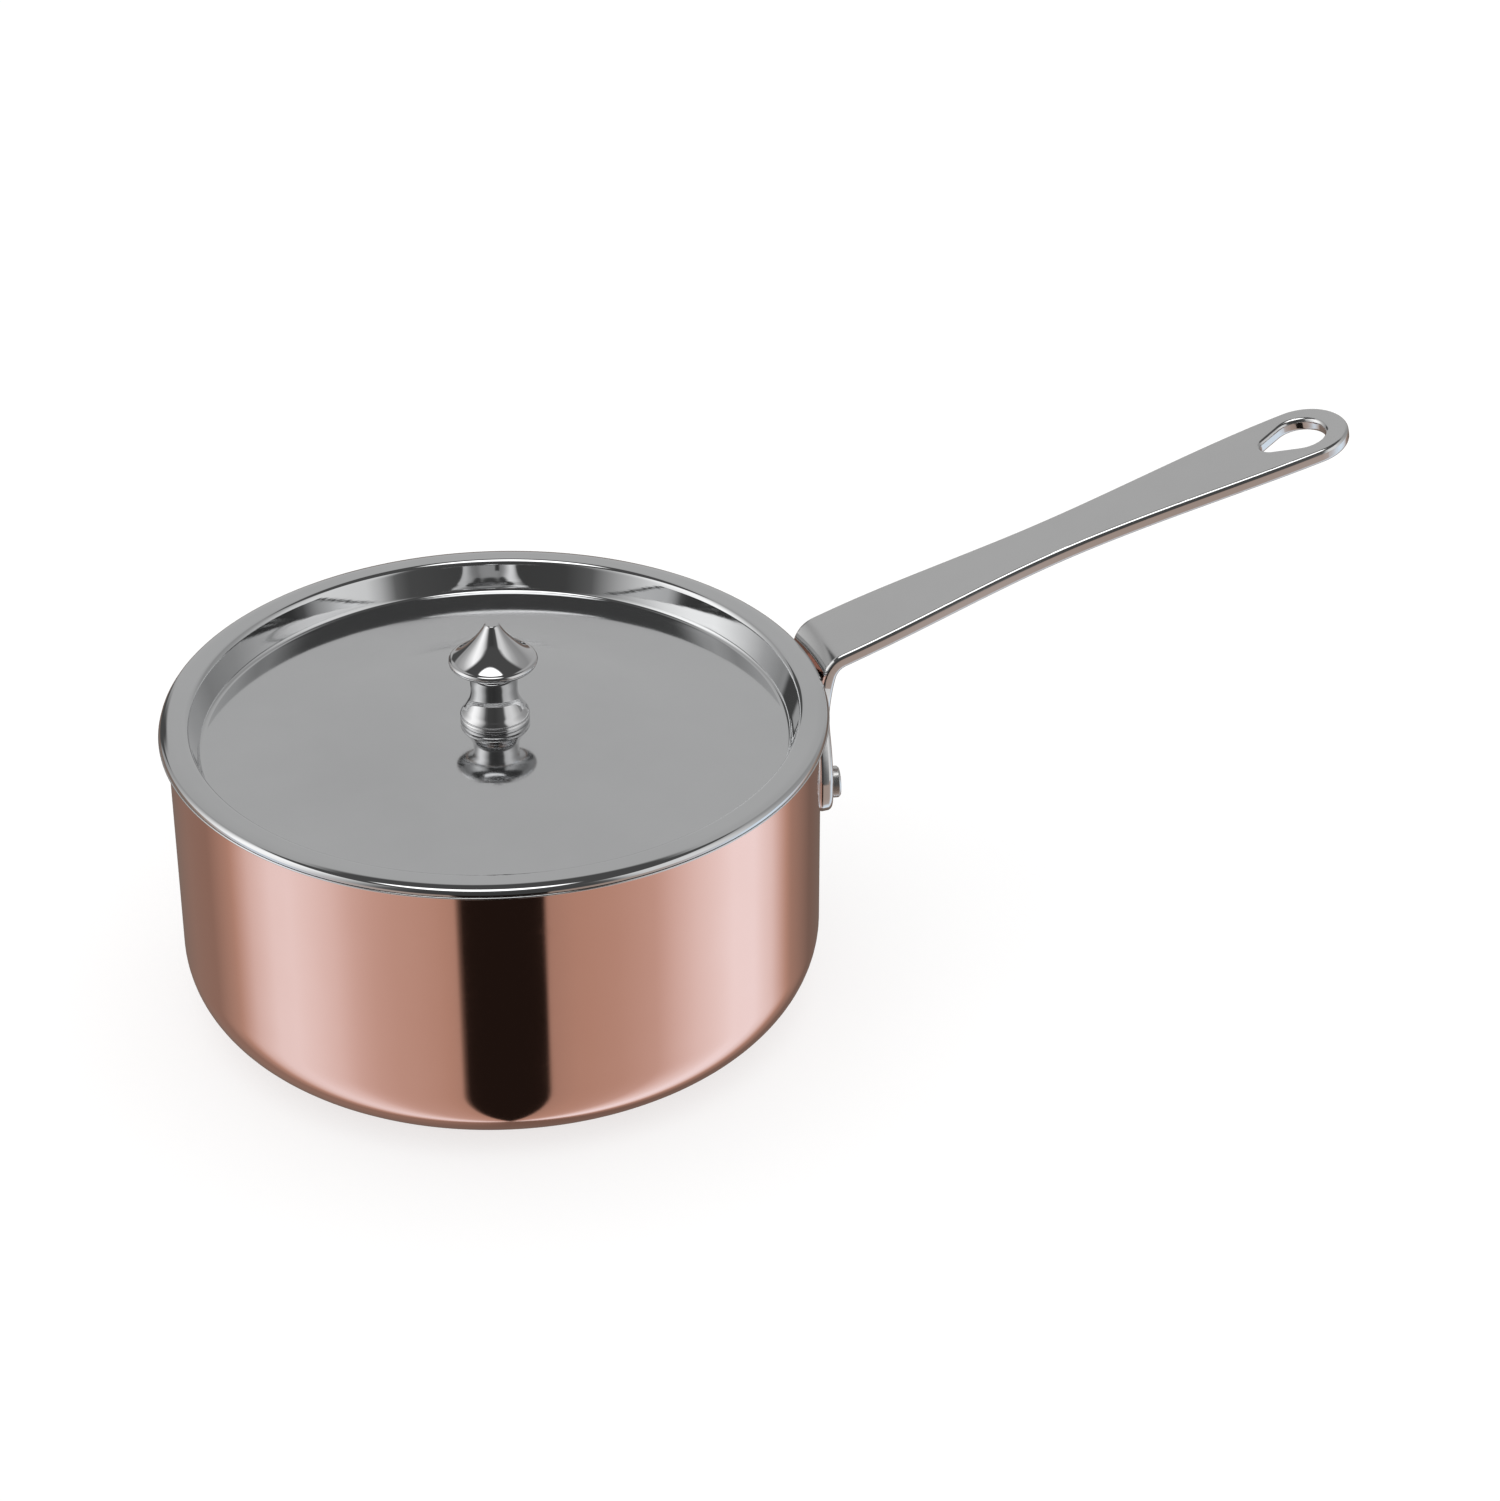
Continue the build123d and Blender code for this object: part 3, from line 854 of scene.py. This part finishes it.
def blankSide():
    # one side of the flat blank, as (distance along the bar, half width), from the lug's middle to the tip
    lipLevel = path.whereHeight(lipUnder)
    side = bar["lugWidth"] / 2
    lugStart = path.whereHeight(lugBottom)
    turnLevel = path.whereHeight(rivetLevel + bar["lugCorner"] / 2)
    # the lug's lower edge is hollowed in the middle
    hollow = [(lugStart + bar["lugNotch"] * (1 - u * u), side * u, 0) for u in (0, 0.15, 0.3, 0.45, 0.6)]
    lug = outline(hollow + [(lugStart, side, bar["lugCorner"]), (turnLevel, side, 0)],
                  closed=False, steps=16, spacing=1 * mm)
    flare = spline((turnLevel, side), (1, -0.25), (lipLevel, bar["rootWidth"] / 2), (1, 0), 24)[1:]
    root = [Vector((lipLevel + (bendTop - lipLevel) * k / 8, bar["rootWidth"] / 2)) for k in range(1, 8)]
    loopCentre = reach - bar["loopWidth"] / 2
    waist = wallRadius + bar["waistReach"]
    rootEnd = barMiddle + bar["standoff"] + bar["bendRadius"]
    plan = spline((rootEnd, bar["rootWidth"] / 2), (1, 0), (waist, bar["waistWidth"] / 2), (1, 0), 30)
    plan += spline((waist, bar["waistWidth"] / 2), (1, 0), (loopCentre, bar["loopWidth"] / 2), (1, 0), 40)[1:]
    for k in range(1, 25):
        a = pi / 2 * k / 24
        plan.append(Vector((loopCentre + bar["loopWidth"] / 2 * sin(a), bar["loopWidth"] / 2 * cos(a))))
    blade = [Vector((path.whereRadius(p.length), p.y)) for p in plan]
    return lug + flare + root + blade


def holeLine():
    # pear-shaped hole, as (distance along the bar, offset)
    big, small = bar["holeEnd"], bar["holeNeck"]
    bigCentre = reach - bar["holeWall"] - big
    smallCentre = reach - bar["holeWall"] - bar["holeLength"] + small
    lean = asin((big - small) / (bigCentre - smallCentre))
    points = []
    for k in range(33):
        a = (pi / 2 + lean) * (1 - 2 * k / 32)
        points.append(Vector((bigCentre + big * cos(a), big * sin(a))))
    for k in range(17):
        a = -(pi / 2 + lean) - (pi - 2 * lean) * k / 16
        points.append(Vector((smallCentre + small * cos(a), small * sin(a))))
    return [Vector((path.whereRadius(p.length), p.y)) for p in points]


def flatBlank():
    side = blankSide()
    loop = side + [Vector((p.x, -p.y)) for p in reversed(side[1:-1])]
    data = bpy.data.curves.new("barBlank", "CURVE")
    data.dimensions = "2D"
    data.fill_mode = "BOTH"
    for points in (loop, holeLine()):
        line = data.splines.new("POLY")
        line.points.add(len(points) - 1)
        for point, p in zip(line.points, points):
            point.co = (p.x, p.y, 0, 1)
        line.use_cyclic_u = True
    data.extrude = bar["thickness"] / 2 - bar["edge"]
    data.bevel_depth = bar["edge"]
    data.bevel_resolution = 6
    data.offset = -bar["edge"]
    holder = bpy.data.objects.new("barBlank", data)
    scene.collection.objects.link(holder)
    mesh = bpy.data.meshes.new_from_object(holder.evaluated_get(bpy.context.evaluated_depsgraph_get()))
    bpy.data.objects.remove(holder)
    return mesh


def bentBar():
    shape = bmesh.new()
    shape.from_mesh(flatBlank())
    bmesh.ops.remove_doubles(shape, verts=shape.verts, dist=1e-6)

    def cut(place, normal):
        everything = shape.verts[:] + shape.edges[:] + shape.faces[:]
        bmesh.ops.bisect_plane(shape, geom=everything, dist=1e-7, plane_co=place, plane_no=normal)

    s = path.whereHeight(lugBottom)
    while s < path.whereRadius(reach):
        turning = path.across(s - 1 * mm).angle(path.across(s + 1 * mm))
        cut((s, 0, 0), (1, 0, 0))
        s += 0.5 * mm if turning > 0.15 else 1.0 * mm if turning > 0.04 else 2.0 * mm
    for k in range(-13, 14):
        cut((0, k * 1.8 * mm, 0), (0, 1, 0))
    for vert in shape.verts:
        along, offset, lift = vert.co
        place = path.at(along) + path.across(along) * lift
        vert.co = (sqrt(place.x ** 2 - offset ** 2), offset, place.y)
    tidyMesh(shape, 2e-6)
    mesh = bpy.data.meshes.new("barHandle")
    shape.to_mesh(mesh)
    shape.free()
    return mesh


handlePiece = newPiece("barHandle", bentBar(), handleSteel, "pan", ["handle"])
evenOut = handlePiece.modifiers.new("evenShading", "WEIGHTED_NORMAL")
evenOut.weight = 60


# Rivets: one turned rivet, set at both places

print("rivets")
rivet = dict(
    shank=2.5 * mm,
    head=4.1 * mm,
    headHeight=2.3 * mm,
    chamfer=0.5 * mm,
    innerHeight=1.1 * mm,
    spacing=34 * mm,
    sunk=0.15 * mm,            # head into the lug, so no gap shows
    crown=0.06 * mm,
    innerRounding=0.3 * mm,
    sideRounding=0.15 * mm,
    topRounding=0.2 * mm,
)
rivetAngle = (rivet["spacing"] / 2) / wallRadius
lugOutside = wallRadius + bar["thickness"]
rivetLine = outline([
    (0, linerInside - rivet["innerHeight"], 0),
    (rivet["head"], linerInside - rivet["innerHeight"], rivet["innerRounding"]),
    (rivet["head"], linerInside, 0),
    (rivet["shank"], linerInside, 0),
    (rivet["shank"], lugOutside - rivet["sunk"], 0),
    (rivet["head"], lugOutside - rivet["sunk"], 0),
    (rivet["head"], lugOutside + rivet["headHeight"] - rivet["chamfer"], rivet["sideRounding"]),
    (rivet["head"] - rivet["chamfer"], lugOutside + rivet["headHeight"], rivet["topRounding"]),
    (0, lugOutside + rivet["headHeight"] + rivet["crown"], 0),
], closed=False, steps=5, spacing=0.6 * mm, guard=0.05 * mm)


def rivetTree(source):
    tree = bpy.data.node_groups.new("rivetPair", "GeometryNodeTree")
    for name, kind in (("Angle", "Float"), ("Level", "Float"), ("Material", "Material")):
        tree.interface.new_socket(name, in_out="INPUT", socket_type="NodeSocket" + kind)
    tree.interface.new_socket("Geometry", in_out="OUTPUT", socket_type="NodeSocketGeometry")
    n = Nodes(tree)
    given = tree.nodes.new("NodeGroupInput")
    angle, level, material = [Wire(n, out) for out in given.outputs[:3]]
    middle = n.combine(0.0, 0.0, level)
    pair = n.node("GeometryNodeMeshLine", dict(mode="END_POINTS"),
                  {"Count": 2, "Start Location": middle, "Offset": middle})
    index = n.node("GeometryNodeInputIndex")
    facing = n.combine(0.0, pi / 2, (index * 2 - 1) * angle)
    each = n.node("GeometryNodeObjectInfo", {}, {"Object": source}, "Geometry")
    placed = n.node("GeometryNodeInstanceOnPoints", {}, {"Points": pair, "Instance": each, "Rotation": facing})
    real = n.node("GeometryNodeRealizeInstances", {}, {"Geometry": placed})
    done = n.node("GeometryNodeSetMaterial", {}, {"Geometry": real, "Material": material})
    n.tree.links.new(done.socket, tree.nodes.new("NodeGroupOutput").inputs[0])
    return tree


oneRivet = bpy.data.objects.new("oneRivet", turn("oneRivet", rivetLine, 96, False))
rivetMesh = runTree("rivetPair", rivetTree(oneRivet), dict(
    Angle=rivetAngle, Level=rivetLevel, Material=rivetSteel))
bpy.data.objects.remove(oneRivet)
newPiece("rivetPair", rivetMesh, rivetSteel, "pan",
         ["handle_rivet_left", "handle_rivet_right"])
